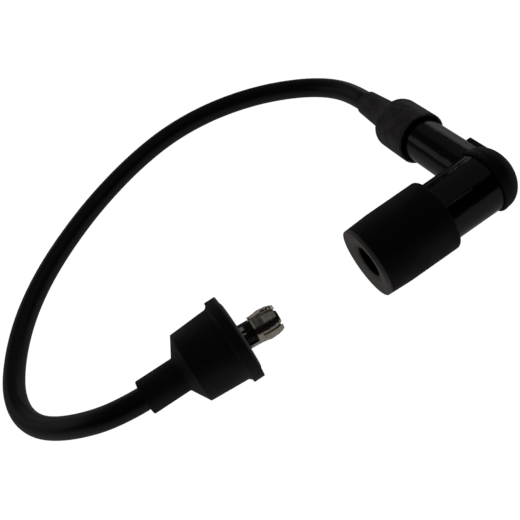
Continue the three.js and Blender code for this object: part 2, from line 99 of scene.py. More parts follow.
# %% Sizes that several pieces share, in millimetres
BOOT_RADIUS = 11.3
LEG_RADIUS = 9.3
LEG_STEP = -18.6
DOME_REACH = 7
SPIGOT_RADIUS = 7.8
SPIGOT_END = -30
WIRE_LEG_RADIUS = 6.9
WIRE_LEG_END = 39.5
SEAL_END = 61.6
COIL_SLEEVE_END = -30.6
LEAD_RADIUS = 3.5
# What the pieces leave each other: rubber on the plug leg, rubber round the lead, and the ends of the lead
RUBBER_ON_LEG = LEG_RADIUS + 0.08
LEAD_HOLE = LEAD_RADIUS + 0.06
LEAD_GAP = 0.15
# How far a sleeve runs past its solid, so that the gap at the end of the lead stays hidden
SLEEVE_LAP = 0.25
print("shared sizes: plug leg", 2 * LEG_RADIUS, "wire leg", 2 * WIRE_LEG_RADIUS, "lead", 2 * LEAD_RADIUS)

# %% Places of the cap and of the coil boot
DIP = math.radians(3.8434)
CAP = Matrix.Translation(point(17.075, -25.2215, BOOT_RADIUS)) @ Matrix.Rotation(-DIP, 4, "X")
WIRE = CAP @ Matrix.Rotation(math.radians(90), 4, "Z")


def axes(origin, x, y, z):
    """A matrix with this origin, in millimetres, and these axes."""
    turn = Matrix((Vector(x), Vector(y), Vector(z))).transposed().to_4x4()
    return Matrix.Translation(point(*origin)) @ turn


COIL = axes(
    (-66.4, -21.9, 12.9949),
    (0.99954, -0.01221, -0.02792),
    (0.01221, 0.99993, -0.00017),
    (0.02792, -0.00017, 0.99961),
)
TERMINAL = axes(
    (-62.2276, -22.6483, 12.2817),
    (0.99627, -0.05616, -0.06547),
    (-0.01328, 0.65005, -0.75978),
    (0.08523, 0.75781, 0.64688),
)
wire_way = (CAP.to_3x3() @ Vector((0, 1, 0))).normalized()
coil_way = (COIL.to_3x3() @ Vector((1, 0, 0))).normalized()
lead_exit = CAP @ point(0, SEAL_END + LEAD_GAP, 0)
lead_entry = COIL @ point(COIL_SLEEVE_END - LEAD_GAP, 0, 0)
print("lead leaves the seal at", [round(1000 * c, 2) for c in lead_exit])

# %% [markdown]
# ## The lead's route
#
# The lead is a fixed length of stiff 7 mm cable. Its route is a list of points that were chosen on the
# table. A centripetal Catmull-Rom curve goes through every one of them without overshooting, which a plain
# one does where the points lie unevenly. The lead is swept as a mesh and not left a curve object, because a
# mesh can carry a UV map in millimetres: round the jacket in U and along it in V, so that drawn texture
# follows the cable.

# %% Route of the lead
ROUTE = [
    (16.9, 50.3, 5.0), (14.5, 59.1, 3.9), (9.5, 67.0, 3.5), (2.6, 73.8, 3.5), (-5.5, 79.9, 3.5),
    (-14.4, 84.7, 3.5), (-23.9, 88.2, 3.5), (-33.7, 90.1, 3.5), (-43.6, 90.4, 3.5), (-53.5, 89.0, 3.5),
    (-63.3, 86.4, 3.5), (-72.9, 82.8, 3.5), (-82.2, 78.5, 3.5), (-91.1, 73.4, 3.5), (-99.5, 67.8, 3.5),
    (-107.4, 61.6, 3.5), (-114.6, 54.7, 3.5), (-121.0, 47.0, 3.5), (-126.4, 38.6, 3.5), (-130.8, 29.4, 3.5),
    (-133.8, 19.7, 3.5), (-133.8, 9.7, 3.8), (-130.1, 0.2, 5.5), (-123.9, -7.8, 8.4), (-116.7, -14.5, 11.5),
    (-108.4, -19.6, 13.6),
]
knots = [
    lead_exit,
    lead_exit + wire_way * 3 * MM,
    *[point(*p) for p in ROUTE],
    lead_entry - coil_way * 2 * MM,
    lead_entry,
]


def between(a, b, t, ta, tb):
    """The point at t on the line that is at a when t is ta, and at b when t is tb."""
    return a * ((tb - t) / (tb - ta)) + b * ((t - ta) / (tb - ta))


def through(points, steps):
    """A centripetal Catmull-Rom curve through the points, with steps to each span."""
    first = points[0] * 2 - points[1]
    last = points[-1] * 2 - points[-2]
    padded = [first, *points, last]
    line = []
    for p0, p1, p2, p3 in zip(padded, padded[1:], padded[2:], padded[3:]):
        t0 = 0.0
        t1 = t0 + math.sqrt((p1 - p0).length)
        t2 = t1 + math.sqrt((p2 - p1).length)
        t3 = t2 + math.sqrt((p3 - p2).length)
        for i in range(steps):
            t = t1 + (t2 - t1) * i / steps
            a1 = between(p0, p1, t, t0, t1)
            a2 = between(p1, p2, t, t1, t2)
            a3 = between(p2, p3, t, t2, t3)
            b1 = between(a1, a2, t, t0, t2)
            b2 = between(a2, a3, t, t1, t3)
            line.append(between(b1, b2, t, t1, t2))
    line.append(points[-1].copy())
    return line


def length_of(line):
    return sum((b - a).length for a, b in zip(line, line[1:]))


def calmed(line, passes):
    """Evens out the bend along a line and keeps its two ends and the way they point."""
    line = [p.copy() for p in line]
    for _ in range(passes):
        triples = zip(line[1:-3], line[2:-2], line[3:-1])
        line[2:-2] = [(a + b * 2 + c) / 4 for a, b, c in triples]
    return line


lead_line = calmed(through(knots, 16), 60)
print("free lead, mm:", round(1000 * length_of(lead_line), 1))

# %% [markdown]
# ## Tools for making meshes
#
# Most of these pieces are turned forms. On a rubber moulding no corner is sharp, and it is the small round
# on each corner that catches the light. So an outline is given as corners with a radius each, and the
# helper puts the arc in. It adds a point just past each end of the arc, which keeps the flat faces beside
# it shaded flat. Spinning the outline in bmesh was chosen over the Screw modifier, because the mesh is then
# final at once.

# %% Outlines with rounded corners
def eased(corners, closed=True, steps=5):
    """Rounds each corner (station, radius, ease) of an outline, all in millimetres."""
    count = len(corners)
    outline = []
    for i, (station, radius, ease) in enumerate(corners):
        here = Vector((station, radius))
        if ease <= 0 or (not closed and i in (0, count - 1)):
            outline.append(here)
            continue
        before = Vector(corners[i - 1][:2]) - here
        after = Vector(corners[(i + 1) % count][:2]) - here
        turn = math.pi - before.angle(after)
        # The arc starts and ends this far from the corner, or nearer where a side is short
        reach = min(ease * math.tan(turn / 2), 0.46 * min(before.length, after.length))
        before, after = before.normalized(), after.normalized()
        centre = here + (before + after).normalized() * reach / math.sin(turn / 2)
        first, last = here + before * reach - centre, here + after * reach - centre
        outline.append(here + before * 1.05 * reach)
        # The arc turns from its first point to its last about its centre
        for k in range(steps + 1):
            t = turn * k / steps
            outline.append(centre + (first * math.sin(turn - t) + last * math.sin(t)) / math.sin(turn))
        outline.append(here + after * 1.05 * reach)
    return outline


def dome(start, end, steps=24):
    """A quarter of an ellipse from one point of an outline to the next, each with no ease."""
    points = []
    for k in range(steps + 1):
        a = math.pi / 2 * k / steps
        station = start[0] + (end[0] - start[0]) * math.sin(a)
        radius = end[1] + (start[1] - end[1]) * math.cos(a)
        points.append((station, radius, 0))
    return points


# %% Turned pieces
def linked(name, mesh):
    """A new object in the scene with this mesh."""
    made = bpy.data.objects.new(name, mesh)
    bpy.context.scene.collection.objects.link(made)
    return made


def turned(name, outline, place, sides, closed=True):
    """Spins an outline in millimetres round the X axis, and puts the closed shell at place."""
    work = bmesh.new()
    ring = [work.verts.new((p[0] * MM, max(p[1], 0) * MM, 0)) for p in outline]
    pairs = list(zip(ring, ring[1:]))
    if closed:
        pairs.append((ring[-1], ring[0]))
    for a, b in pairs:
        if max(a.co.y, b.co.y) > 0:
            work.edges.new((a, b))
    bmesh.ops.spin(
        work, geom=work.verts[:] + work.edges[:], cent=(0, 0, 0), axis=(1, 0, 0),
        angle=2 * math.pi, steps=sides, use_duplicate=False,
    )
    bmesh.ops.remove_doubles(work, verts=work.verts[:], dist=2e-6)
    bmesh.ops.recalc_face_normals(work, faces=work.faces[:])
    work.transform(place)
    mesh = bpy.data.meshes.new(name)
    work.to_mesh(mesh)
    work.free()
    return shaded(linked(name, mesh))


def bar(name, start, end, radius, place, sides=96):
    """A plain round bar, to cut with."""
    outline = [Vector(p) for p in ((start, 0), (start, radius), (end, radius), (end, 0))]
    return turned(name, outline, place, sides, closed=False)


def shaded(made, angle=32):
    """Smooth shading, with real edges kept sharp."""
    made.data.shade_smooth()
    made.data.set_sharp_from_angle(angle=math.radians(angle))
    return made


def settled(made):
    """Replaces an object by the mesh that its modifiers make."""
    depsgraph = bpy.context.evaluated_depsgraph_get()
    mesh = bpy.data.meshes.new_from_object(made.evaluated_get(depsgraph))
    made.modifiers.clear()
    made.data = mesh
    return made


def joined_with(made, other, operation):
    """Joins or cuts made with another closed object, which is then removed."""
    cut = made.modifiers.new(operation.lower(), "BOOLEAN")
    cut.operation = operation
    cut.solver = "EXACT"
    cut.object = other
    settled(made)
    bpy.data.objects.remove(other)
    return made


# %% [markdown]
# ## A tree that winds copies round an axis
#
# The crown's prongs and the strands of the core are one shape repeated round an axis. Geometry Nodes do
# that with a line of points that all lie at the origin: each point's index becomes an angle. The object's
# own mesh is the shape that is copied. The number of copies and the first angle are named inputs, so the
# same tree serves both. The copies are realised at the end, because an exported model holds no instances.

# %% Copies round the X axis
def link(tree, source, target):
    tree.links.new(source, target)


def node(tree, kind, settings=None, **inputs):
    """Adds a node. An input, by its name or by i and its number, is a value or the socket that feeds it."""
    made = tree.nodes.new(kind)
    for key, value in (settings or {}).items():
        setattr(made, key, value)
    for key, value in inputs.items():
        numbered = key[0] == "i" and key[1:].isdigit()
        socket = made.inputs[int(key[1:]) if numbered else key.replace("_", " ")]
        if isinstance(value, bpy.types.NodeSocket):
            link(tree, value, socket)
        else:
            socket.default_value = value
    return made


def new_geometry_tree(name, inputs):
    tree = bpy.data.node_groups.new(name, "GeometryNodeTree")
    tree.interface.new_socket("Geometry", in_out="INPUT", socket_type="NodeSocketGeometry")
    for label, kind, value in inputs:
        socket = tree.interface.new_socket(label, in_out="INPUT", socket_type=kind)
        if value is not None:
            socket.default_value = value
    tree.interface.new_socket("Geometry", in_out="OUTPUT", socket_type="NodeSocketGeometry")
    return tree, node(tree, "NodeGroupInput"), node(tree, "NodeGroupOutput")


def wound_tree():
    """Winds copies of the object's own mesh round the X axis."""
    tree, given, out = new_geometry_tree("copies_round_axis", [
        ("Copies", "NodeSocketInt", 5),
        ("First angle", "NodeSocketFloat", 0.0),
        ("Material", "NodeSocketMaterial", None),
    ])
    points = node(tree, "GeometryNodeMeshLine", Count=given.outputs["Copies"], Offset=(0, 0, 0))
    index = node(tree, "GeometryNodeInputIndex")
    turn = node(tree, "ShaderNodeMath", {"operation": "DIVIDE"},
                i0=2 * math.pi, i1=given.outputs["Copies"])
    angle = node(tree, "ShaderNodeMath", {"operation": "MULTIPLY_ADD"},
                 i0=index.outputs[0], i1=turn.outputs[0], i2=given.outputs["First angle"])
    rotation = node(tree, "ShaderNodeCombineXYZ", X=angle.outputs[0])
    copies = node(tree, "GeometryNodeInstanceOnPoints", Points=points.outputs[0],
                  Instance=given.outputs["Geometry"], Rotation=rotation.outputs[0])
    real = node(tree, "GeometryNodeRealizeInstances", Geometry=copies.outputs[0])
    painted = node(tree, "GeometryNodeSetMaterial", Geometry=real.outputs[0],
                   Material=given.outputs["Material"])
    link(tree, painted.outputs[0], out.inputs[0])
    return tree


def run_tree(made, tree, values):
    """Runs a tree on an object with these named inputs, and keeps the plain mesh."""
    modifier = made.modifiers.new(tree.name, "NODES")
    modifier.node_group = tree
    names = {s.name: s.identifier for s in tree.interface.items_tree if s.in_out == "INPUT"}
    for name, value in values.items():
        modifier[names[name]] = value
    return settled(made)


COPIES = wound_tree()
print("tree:", COPIES.name, "with", len(COPIES.nodes), "nodes")

# %% [markdown]
# ## Materials
#
# Every colour is an sRGB hex value from a colour picker, and a shader wants linear light, so one function
# turns it. Black rubber isn't black paint: it reflects a few per cent straight on, and far more at a
# grazing angle, so the outline of each form glows softly. Roughness and bump tell the finishes apart. A
# noise texture on object coordinates has its scale in lumps to the metre, so a scale of 1000 gives lumps of
# one millimetre.

# %% Colours and the shader that all finishes start from
def linear(hex_value):
    """An sRGB hex colour as linear RGBA."""
    channels = [int(hex_value[i:i + 2], 16) / 255 for i in (1, 3, 5)]
    return [c / 12.92 if c <= 0.04045 else ((c + 0.055) / 1.055) ** 2.4 for c in channels] + [1]


def finish_of(name, colour, roughness, metallic=0.0, ior=1.5):
    material = bpy.data.materials.new(name)
    material.use_nodes = True
    material.diffuse_color = linear(colour)
    shader = material.node_tree.nodes["Principled BSDF"]
    shader.inputs["Base Color"].default_value = linear(colour)
    shader.inputs["Roughness"].default_value = roughness
    shader.inputs["Metallic"].default_value = metallic
    shader.inputs["IOR"].default_value = ior
    return material, material.node_tree, shader


def mottled(tree, where, scale, low, high):
    """A noise with this many lumps to the metre, given from low to high."""
    grain = node(tree, "ShaderNodeTexNoise", Vector=where, Scale=scale, Detail=3.0)
    spread = node(tree, "ShaderNodeMapRange", Value=grain.outputs["Fac"],
                  From_Min=0.3, From_Max=0.7, To_Min=low, To_Max=high)
    return spread.outputs[0]


def tinted(tree, amount, first, second):
    """The first colour where amount is 0, and the second where it is 1. Each is a value or a socket."""
    mix = node(tree, "ShaderNodeMix", {"data_type": "RGBA"}, Factor=amount, i6=first, i7=second)
    return mix.outputs[2]


def bumped(tree, shader, height, distance):
    """Relief from a height of 0 to 1, this many metres deep."""
    relief = node(tree, "ShaderNodeBump", Height=height, Distance=distance, Strength=1.0)
    link(tree, relief.outputs[0], shader.inputs["Normal"])


# %% Moulded EPDM rubber: matte, with a fine spark-eroded mould grain, and on some parts painted light, a lighter grey at one end
def painted_light_mask(tree, where, axis, unlit_at, lit_at):
    """0 up to the unlit place along an axis of the part, and 1 past the fully lit one, in millimetres: where
    the painted light goes.
    """
    parts = node(tree, "ShaderNodeSeparateXYZ", Vector=where)
    rise = node(tree, "ShaderNodeMapRange", Value=parts.outputs[axis],
                From_Min=unlit_at * MM, From_Max=lit_at * MM)
    return rise.outputs[0]


def moulded_rubber(name, shine=0.36, painted_light=None):
    """Black rubber. The last argument gives painted light: an axis, where it starts and is full, and its
    grey.
    """
    material, tree, shader = finish_of(name, "#0e0e0e", 0.6)
    shader.inputs["Specular IOR Level"].default_value = shine
    where = node(tree, "ShaderNodeTexCoord").outputs["Object"]
    # Clouds of 11 mm in the colour, and of 6 mm in the gloss
    colour = tinted(tree, mottled(tree, where, 90, 0, 1), linear("#0b0b0b"), linear("#121111"))
    # Painted light: along the axis the colour goes over to a lighter grey at one end, for the light that
    # falls there
    if painted_light:
        axis, unlit_at, lit_at, lighter_tone = painted_light
        colour = tinted(tree, painted_light_mask(tree, where, axis, unlit_at, lit_at), colour, linear(lighter_tone))
    link(tree, colour, shader.inputs["Base Color"])
    link(tree, mottled(tree, where, 160, 0.55, 0.7), shader.inputs["Roughness"])
    # The mould's grain is about 0.1 mm, drawn at 0.25 mm so that it shows
    grain = node(tree, "ShaderNodeTexNoise", Vector=where, Scale=4000, Detail=2.0)
    bumped(tree, shader, grain.outputs["Fac"], 0.00003)
    return material


# %% Softer natural rubber of the seal: dusty grey with bloom, and lumpy from a worn mould
def bloomed_rubber():
    material, tree, shader = finish_of("bloomed_natural_rubber", "#4c4648", 0.62)
    where = node(tree, "ShaderNodeTexCoord").outputs["Object"]
    lighter_tone = mottled(tree, where, 260, 0, 1)
    link(tree, tinted(tree, lighter_tone, linear("#443e40"), linear("#6e6668")), shader.inputs["Base Color"])
    link(tree, mottled(tree, where, 400, 0.5, 0.75), shader.inputs["Roughness"])
    # Lumps of 3 mm, from a worn mould
    lumps = node(tree, "ShaderNodeTexNoise", Vector=where, Scale=330, Detail=2.5)
    bumped(tree, shader, lumps.outputs["Fac"], 0.0006)
    return material


# %% Compression-moulded phenolic: hard and glossy, with a slightly rippled skin
def glossy_phenolic():
    material, tree, shader = finish_of("compression_moulded_phenolic", "#030303", 0.17)
    where = node(tree, "ShaderNodeTexCoord").outputs["Object"]
    link(tree, mottled(tree, where, 300, 0.13, 0.21), shader.inputs["Roughness"])
    # Ripples of 4 to 5 mm, which bend the reflections along the legs
    ripple = node(tree, "ShaderNodeTexNoise", Vector=where, Scale=220, Detail=2.5)
    bumped(tree, shader, ripple.outputs["Fac"], 0.00012)
    return material


# %% Mould line on the plug leg: a painted highlight, matte and light brownish grey with a mottle
def painted_highlight_welt():
    material, tree, shader = finish_of("painted_highlight_welt", "#8a7f74", 0.6)
    where = node(tree, "ShaderNodeTexCoord").outputs["Object"]
    # Painted highlight: the whole welt is a light brownish grey for the light it catches from above; the
    # mottle in it is random tone
    speckle = mottled(tree, where, 500, 0, 1)
    link(tree, tinted(tree, speckle, linear("#3b352f"), linear("#9a8f83")), shader.inputs["Base Color"])
    return material


# %% Extruded jacket: satin, with die lines that run along it
def extruded_jacket():
    material, tree, shader = finish_of("extruded_lead_jacket", "#070707", 0.42)
    where = node(tree, "ShaderNodeTexCoord").outputs["UV"]
    # The UV map is in millimetres: lines 0.6 mm apart round the jacket, and about 30 mm long
    stretched = node(tree, "ShaderNodeMapping", Vector=where, Scale=(1.6, 0.035, 1))
    lines = node(tree, "ShaderNodeTexNoise", Vector=stretched.outputs[0], Scale=1.0, Detail=4.0)
    spread = node(tree, "ShaderNodeMapRange", Value=lines.outputs["Fac"], To_Min=0.34, To_Max=0.52)
    link(tree, spread.outputs[0], shader.inputs["Roughness"])
    bumped(tree, shader, lines.outputs["Fac"], 0.00003)
    return material


# %% Tinned brass sheet, pressed: bright, with fine scratches and a warm cast where the plating is thin
def tinned_sheet():
    material, tree, shader = finish_of("tinned_brass_sheet", "#dcd8d0", 0.16, metallic=1.0)
    where = node(tree, "ShaderNodeTexCoord").outputs["Object"]
    worn = mottled(tree, where, 700, 0, 1)
    link(tree, tinted(tree, worn, linear("#f4f1ea"), linear("#cdb9a4")), shader.inputs["Base Color"])
    link(tree, mottled(tree, where, 1500, 0.1, 0.2), shader.inputs["Roughness"])
    # Scratches of 0.1 mm across and 1.7 mm along, far coarser than real ones so that they show
    scratch = node(tree, "ShaderNodeMapping", Vector=where, Scale=(600, 9000, 9000))
    marks = node(tree, "ShaderNodeTexNoise", Vector=scratch.outputs[0], Scale=1.0, Detail=2.0)
    bumped(tree, shader, marks.outputs["Fac"], 0.00001)
    return material


# %% The metals and the ceramic inside the cap
def turned_metal(name, bright, dull, roughness):
    """Metal with fine tool marks across X."""
    material, tree, shader = finish_of(name, bright, roughness, metallic=1.0)
    where = node(tree, "ShaderNodeTexCoord").outputs["Object"]
    tarnish = mottled(tree, where, 500, 0, 1)
    link(tree, tinted(tree, tarnish, linear(bright), linear(dull)), shader.inputs["Base Color"])
    link(tree, mottled(tree, where, 900, 0.8 * roughness, 1.3 * roughness), shader.inputs["Roughness"])
    # Marks a quarter of a millimetre apart, coarser than real ones so that they show
    tool = node(tree, "ShaderNodeTexWave", {"wave_type": "BANDS", "bands_direction": "X"},
                Vector=where, Scale=1200.0)
    bumped(tree, shader, tool.outputs["Fac"], 0.00001)
    return material


def fired_ceramic():
    material, tree, shader = finish_of("fired_alumina", "#dcd6c8", 0.45)
    where = node(tree, "ShaderNodeTexCoord").outputs["Object"]
    stain = mottled(tree, where, 400, 0, 1)
    link(tree, tinted(tree, stain, linear("#e0dacd"), linear("#cfc8b8")), shader.inputs["Base Color"])
    # A fired grain is far finer than the 0.17 mm that it is drawn at
    grain = node(tree, "ShaderNodeTexNoise", Vector=where, Scale=6000, Detail=2.0)
    bumped(tree, shader, grain.outputs["Fac"], 0.00002)
    return material


RUBBER = moulded_rubber("moulded_epdm_rubber")
# Painted light: the mouth of the plug boot is painted a light grey, for the light from the left that falls on
# it
BOOT_RUBBER = moulded_rubber("plug_boot_epdm_rubber", painted_light=("X", -24.2, -24.9, "#958d88"))
# Painted highlight: the lip and the flange face round the coil boot's mouth are painted a light grey, for the
# light their rims catch
COIL_RUBBER = moulded_rubber("coil_boot_epdm_rubber", shine=0.55, painted_light=("X", -67.0, -66.2, "#8a847f"))
# Painted light: the outer part of the pull tongue and the cover's edge beside it, towards +Y, are painted a
# dim grey
COVER_RUBBER = moulded_rubber("elbow_cover_epdm_rubber", painted_light=("Y", -17.5, -14.0, "#2c2a29"))
SEAL_RUBBER = bloomed_rubber()
PHENOLIC = glossy_phenolic()
HIGHLIGHT_WELT = painted_highlight_welt()
JACKET = extruded_jacket()
TINNED = tinned_sheet()
BRASS = turned_metal("turned_brass", "#c39a55", "#a17c3f", 0.3)
STEEL = turned_metal("spring_steel", "#a3a6aa", "#85888c", 0.28)
COPPER = turned_metal("oxidised_copper_strand", "#6b4632", "#4a2f22", 0.35)
CERAMIC = fired_ceramic()
print("materials:", len(bpy.data.materials))


def wear(made, material, body="root"):
    """Gives a finished piece its material and its body."""
    made.data.materials.clear()
    made.data.materials.append(material)
    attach(made, body)
    return made


# %% [markdown]
# ## Plug boot
#
# A sleeve of moulded rubber that grips the spigot of the elbow at one end and the plug's insulator at the
# other. It swells a little from its mouth, which is dished by a millimetre, and two lips inside its bore
# wipe the insulator. All of it can be turned.

# %% Plug boot
PLUG_MOUTH = -42.6
PLUG_BOOT_END = PLUG_MOUTH + 25
PLUG_BORE = 5.4
PLUG_LIP = 4.8


def make_plug_boot():
    m = PLUG_MOUTH
    spigot_hole = SPIGOT_RADIUS + 0.15
    outline = eased([
        (m, 10.9, 0.3),
        (m + 8, BOOT_RADIUS, 12),
        (PLUG_BOOT_END, BOOT_RADIUS, 0.9),
        (PLUG_BOOT_END, RUBBER_ON_LEG, 0.2),
        (LEG_STEP - 0.1, RUBBER_ON_LEG, 0),
        (LEG_STEP - 0.1, spigot_hole, 0),
        (SPIGOT_END - 0.2, spigot_hole, 0),
        (SPIGOT_END - 0.2, PLUG_BORE, 0.3),
        (m + 7, PLUG_BORE, 0.4),
        (m + 6.6, PLUG_LIP, 0.3),
        (m + 5.6, PLUG_LIP, 0.3),
        (m + 5.2, PLUG_BORE, 0.4),
        (m + 2.4, PLUG_BORE, 0.4),
        (m + 2, PLUG_LIP, 0.3),
        (m + 1, PLUG_LIP, 0.4),
        (m, 10.2, 0.3),
    ])
    boot = turned("plug_boot_rubber", outline, CAP, sides=192)
    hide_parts("plug_boot")
    return wear(boot, BOOT_RUBBER)


plug_boot = make_plug_boot()
print("plug boot faces:", len(plug_boot.data.polygons))

# %% [markdown]
# ## Elbow
#
# The body is one compression moulding of phenolic. Two turned legs are joined with an exact boolean, and
# their bores are cut out of the result. A boolean was chosen over modelling the crossing by hand, because
# the curve where two cylinders of different size meet comes out right by itself.

# %% Elbow body
def make_elbow():
    plug_leg = turned("elbow_phenolic", eased([
        (SPIGOT_END, 0, 0),
        (SPIGOT_END, SPIGOT_RADIUS, 0.5),
        (LEG_STEP, SPIGOT_RADIUS, 0),
        (LEG_STEP, LEG_RADIUS, 0.2),
        *dome((0, LEG_RADIUS), (DOME_REACH, 0)),
    ], closed=False), CAP, sides=224, closed=False)
    wire_leg = turned("wire_leg", eased([
        (0, 0, 0),
        (0, WIRE_LEG_RADIUS, 0),
        (WIRE_LEG_END, WIRE_LEG_RADIUS, 0.6),
        (WIRE_LEG_END, 0, 0),
    ], closed=False), WIRE, sides=192, closed=False)
    body = joined_with(plug_leg, wire_leg, "UNION")
    # The mouth, the resistor's bore, the chamber and its hole, then the bores for the lead and the screw
    bores = [
        (-31, -24.6, 5.6, CAP),
        (-25, -4, 4.7, CAP),
        (-5.5, 4.2, 5.2, CAP),
        (4, 8, 3.4, CAP),
        (12.3, 41, 3.7, WIRE),
        (0, 13, 2.1, WIRE),
    ]
    for start, end, radius, place in bores:
        joined_with(body, bar("bore", start, end, radius, place), "DIFFERENCE")
    shaded(body, 30)
    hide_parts("elbow_body")
    return wear(body, PHENOLIC)


elbow = make_elbow()
print("elbow faces:", len(elbow.data.polygons))

# %% [markdown]
# ## Mould lines
#
# Where the halves of a mould meet, a moulding keeps a fine raised line. On a glossy black part it is often
# the only thing that shows the form. A line of points is laid on the surface, and the tree sweeps a fine
# round along it, half sunk, so that it reads as a welt. Each leg has two lines, on opposite sides. On the
# plug leg the welt is painted a light brownish grey, a painted highlight for the light that it catches from
# above; on the wire leg it is only a ridge of the same phenolic.

# %% Tree for a mould line
def seam_tree():
    """Sweeps a round along the edges of the object's own mesh."""
    tree, given, out = new_geometry_tree("mould_line", [
        ("Radius", "NodeSocketFloat", 0.0002),
        ("Material", "NodeSocketMaterial", None),
    ])
    curve = node(tree, "GeometryNodeMeshToCurve", Mesh=given.outputs["Geometry"])
    section = node(tree, "GeometryNodeCurvePrimitiveCircle", Resolution=8, Radius=given.outputs["Radius"])
    welt = node(tree, "GeometryNodeCurveToMesh", Curve=curve.outputs[0], Profile_Curve=section.outputs[0],
                Fill_Caps=True)
    real = node(tree, "GeometryNodeRealizeInstances", Geometry=welt.outputs[0])
    painted = node(tree, "GeometryNodeSetMaterial", Geometry=real.outputs[0],
                   Material=given.outputs["Material"])
    link(tree, painted.outputs[0], out.inputs[0])
    return tree


SEAM = seam_tree()
print("tree:", SEAM.name, "with", len(SEAM.nodes), "nodes")


# %% Mould lines
def on_leg(station, radius, angle, place):
    """A point on a turned surface. The angle is from +Z towards -Y, about the piece's own X."""
    turn = math.radians(angle)
    return place @ point(station, -radius * math.sin(turn), radius * math.cos(turn))


def straight(start, end, radius, angle, place, count=24):
    return [on_leg(start + (end - start) * i / count, radius, angle, place) for i in range(count + 1)]


def mould_line(name, points, radius, material):
    mesh = bpy.data.meshes.new(name)
    mesh.from_pydata([tuple(p) for p in points], [(i, i + 1) for i in range(len(points) - 1)], [])
    seam = run_tree(linked(name, mesh), SEAM, {"Radius": radius * MM, "Material": material})
    shaded(seam, 60)
    return wear(seam, material)


LINE_DEPTH = 0.02
# Name, leg, start and end, radius of the leg, angle of the first line, radius of the welt and its material
MOULD_LINES = [
    # The plug leg's welt carries the painted highlight
    ("mould_line_plug_leg", CAP, PLUG_BOOT_END - 0.1, -8, LEG_RADIUS, 42, 0.16, HIGHLIGHT_WELT),
    ("mould_line_wire_leg", WIRE, 8, 33.6, WIRE_LEG_RADIUS, 298, 0.07, PHENOLIC),
]
for name, leg, start, end, leg_radius, first, welt, material in MOULD_LINES:
    for suffix, side in (("", 0), ("_back", 180)):
        points = straight(start, end, leg_radius - LINE_DEPTH, (first + side) % 360, leg)
        seam = mould_line(name + suffix, points, welt, material)
        print(seam.name, "faces:", len(seam.data.polygons))

# %% [markdown]
# ## Elbow cover
#
# A matte domed cap pushed over the back of the elbow, with a tongue to pull it by. The shell is turned, the
# way for the wire leg is cut out of its skirt, and the tongue is an extruded outline with rounded corners.

# %% Elbow cover
COVER_INSIDE = DOME_REACH + 0.1
COVER_OUTSIDE = COVER_INSIDE + 0.8
COVER_RIM = -0.8
COVER_BEAD = 10.18
NOTCH_RADIUS = WIRE_LEG_RADIUS + 0.25


def make_tongue():
    """The pull tongue: its outline is in the plane across the plug leg, extruded along it."""
    half, root, reach, corner, thickness = 1.7, 1.0, 17.0, 0.6, 1.65
    outline = [(-half, root), (half, root)]
    for centre, first in ((half - corner, 0), (corner - half, 90)):
        for k in range(7):
            a = math.radians(first + 15 * k)
            outline.append((centre + corner * math.cos(a), reach - corner + corner * math.sin(a)))
    work = bmesh.new()
    face = work.faces.new([work.verts.new((COVER_INSIDE * MM, y * MM, -x * MM)) for x, y in outline])
    grown = bmesh.ops.extrude_face_region(work, geom=[face])
    top = [v for v in grown["geom"] if isinstance(v, bmesh.types.BMVert)]
    bmesh.ops.translate(work, vec=(thickness * MM, 0, 0), verts=top)
    bmesh.ops.recalc_face_normals(work, faces=work.faces[:])
    bmesh.ops.bevel(work, geom=work.edges[:], offset=0.2 * MM, segments=3, affect="EDGES", profile=0.6)
    work.transform(CAP)
    mesh = bpy.data.meshes.new("tongue")
    work.to_mesh(mesh)
    work.free()
    return linked("tongue", mesh)


def make_cover():
    cover = turned("elbow_cover_rubber", eased([
        (COVER_RIM, RUBBER_ON_LEG, 0),
        (COVER_RIM, COVER_BEAD, 0.35),
        (0.1, COVER_BEAD, 0.6),
        (0.6, 10.05, 0.6),
        *dome((0.9, 10.0), (COVER_OUTSIDE, 0)),
        *reversed(dome((0, RUBBER_ON_LEG), (COVER_INSIDE, 0))),
    ]), CAP, sides=224)
    joined_with(cover, bar("notch", 0, 12, NOTCH_RADIUS, WIRE, 192), "DIFFERENCE")
    joined_with(cover, make_tongue(), "UNION")
    shaded(cover, 34)
    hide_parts("elbow_cover")
    return wear(cover, COVER_RUBBER)


cover = make_cover()
print("cover faces:", len(cover.data.polygons))

# %% [markdown]
# ## Wire seal
#
# A rubber moulding in three parts: an open-rimmed barrel round the wire leg, a rounded shoulder, and a
# tapered sleeve that grips the lead. The shoulder is a quarter of an ellipse, and it meets the sleeve in a
# soft inside corner. The barrel's rim stands clear of the wire leg, so the shell is turned with its wall as
# one outline.

# %% Wire seal
def make_wire_seal():
    start, barrel_end, end = 30.4, 42.8, SEAL_END + SLEEVE_LAP
    barrel, rim, grip = 8.45, 7.75, WIRE_LEG_RADIUS + 0.1
    floor = WIRE_LEG_END + 0.3
    outline = eased([
        (start, barrel, 0.2),
        *dome((barrel_end, barrel), (barrel_end + 3.8, 5.5)),
        (barrel_end + 3.9, 5.2, 0.5),
        (end, 4.2, 0.25),
        (end, LEAD_HOLE, 0),
        (floor, LEAD_HOLE, 0),
        (floor, grip, 0),
        (start + 3.4, grip, 0),
        (start + 2.8, rim, 0.2),
        (start, rim, 0.12),
    ])
    seal = turned("wire_seal_rubber", outline, WIRE, sides=192)
    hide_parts("wire_seal")
    return wear(seal, SEAL_RUBBER)


wire_seal = make_wire_seal()
print("wire seal faces:", len(wire_seal.data.polygons))

# %% [markdown]
# ## Coil boot
#
# The boot that goes over the coil's tower: a flange with a low lip round its mouth, a slightly tapered
# body, a conical shoulder and a plain sleeve. Behind the flange the photograph shows a fine bright line,
# which a narrow chamfer gives: it is turned a little more towards the light than the body beside it.

